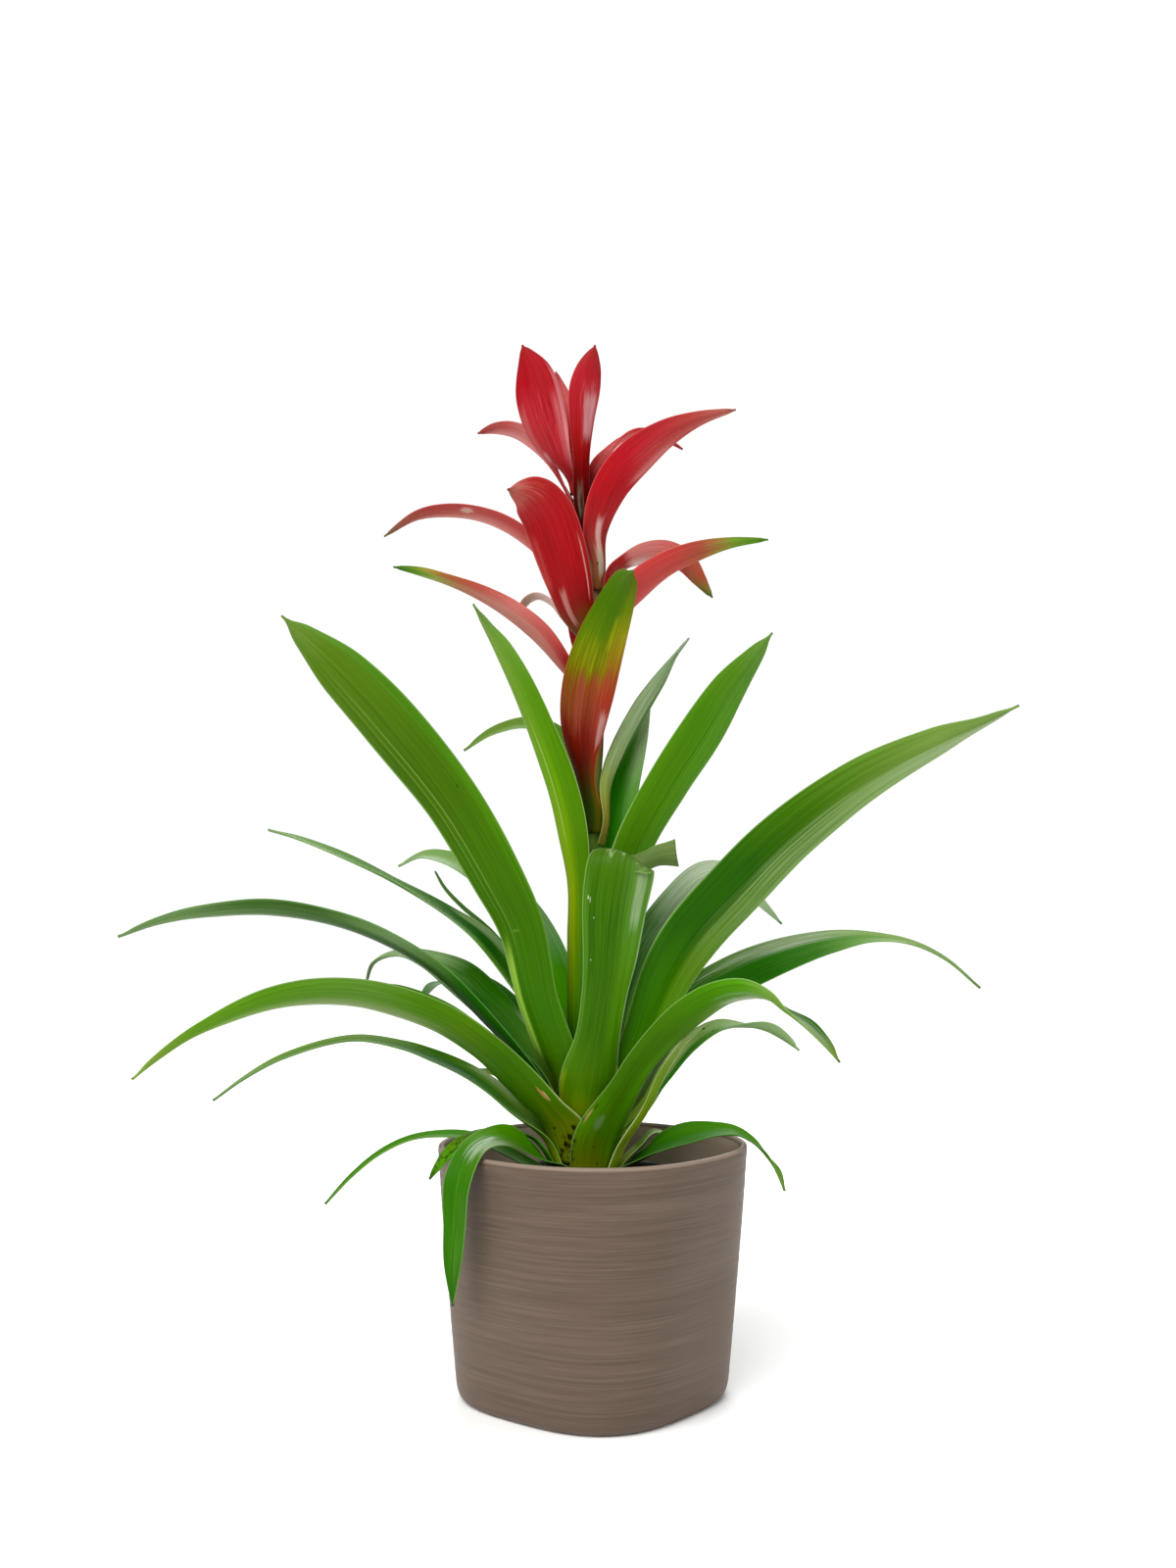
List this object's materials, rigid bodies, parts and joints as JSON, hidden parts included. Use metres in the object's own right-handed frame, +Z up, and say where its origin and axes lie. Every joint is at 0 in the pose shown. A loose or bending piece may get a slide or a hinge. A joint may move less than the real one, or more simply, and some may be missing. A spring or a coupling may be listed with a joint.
{
  "type": "guzmania bromeliad in a planter",
  "caption": "Potted bromeliad: arching strap leaves in a rosette, a tall stem set with red bracts, in a nursery pot inside a soft square planter.",
  "frame": {"origin": "middle of the planter's foot, on the surface that it stands on", "axes": "+Z up along the plant, -Y towards the front, +X to the right seen from the front"},
  "size_m": [0.4207, 0.2709, 0.5054],
  "materials": {
    "planter": "matte",
    "nursery_pot": "satin",
    "potting_mix": "matte",
    "stem": "satin",
    "flower_buds": "satin",
    "leaf_green": "satin",
    "leaf_deep_green": "satin",
    "leaf_yellow_green": "satin",
    "leaf_grey_green": "satin",
    "bract_red": "satin",
    "bract_green_red": "satin"
  },
  "bodies": {
    "root": {"planter": "planter", "nursery_pot": "nursery_pot", "potting_mix": "potting_mix", "stem": "stem", "flower_buds": "flower_buds", "leaf_01": "leaf_green", "leaf_02": "leaf_green", "leaf_03": "leaf_yellow_green", "leaf_04": "leaf_green", "leaf_05": "leaf_green", "leaf_06": "leaf_deep_green", "leaf_07": "leaf_green", "leaf_08": "leaf_deep_green", "leaf_09": "leaf_green", "leaf_10": "leaf_yellow_green", "leaf_11": "leaf_green", "leaf_12": "leaf_grey_green", "leaf_13": "leaf_deep_green", "leaf_14": "leaf_green", "leaf_15": "leaf_grey_green", "leaf_16": "leaf_deep_green", "leaf_17": "leaf_grey_green", "leaf_18": "leaf_deep_green", "leaf_19": "leaf_green", "leaf_20": "leaf_deep_green", "leaf_21": "leaf_green", "leaf_22": "leaf_green", "leaf_23": "leaf_green", "leaf_24": "leaf_green", "leaf_25": "leaf_green", "leaf_26": "leaf_yellow_green", "leaf_27": "leaf_yellow_green", "leaf_28": "leaf_grey_green", "leaf_29": "leaf_green", "leaf_30": "leaf_green", "leaf_31": "leaf_green", "leaf_32": "leaf_green", "bract_01": "bract_red", "bract_02": "bract_red", "bract_03": "bract_red", "bract_04": "bract_red", "bract_05": "bract_red", "bract_06": "bract_red", "bract_07": "bract_red", "bract_08": "bract_red", "bract_09": "bract_red", "bract_10": "bract_red", "bract_11": "bract_red", "bract_12": "bract_red", "bract_13": "bract_green_red", "bract_14": "bract_green_red", "bract_15": "bract_red", "bract_16": "bract_red"}
  },
  "joints": []
}
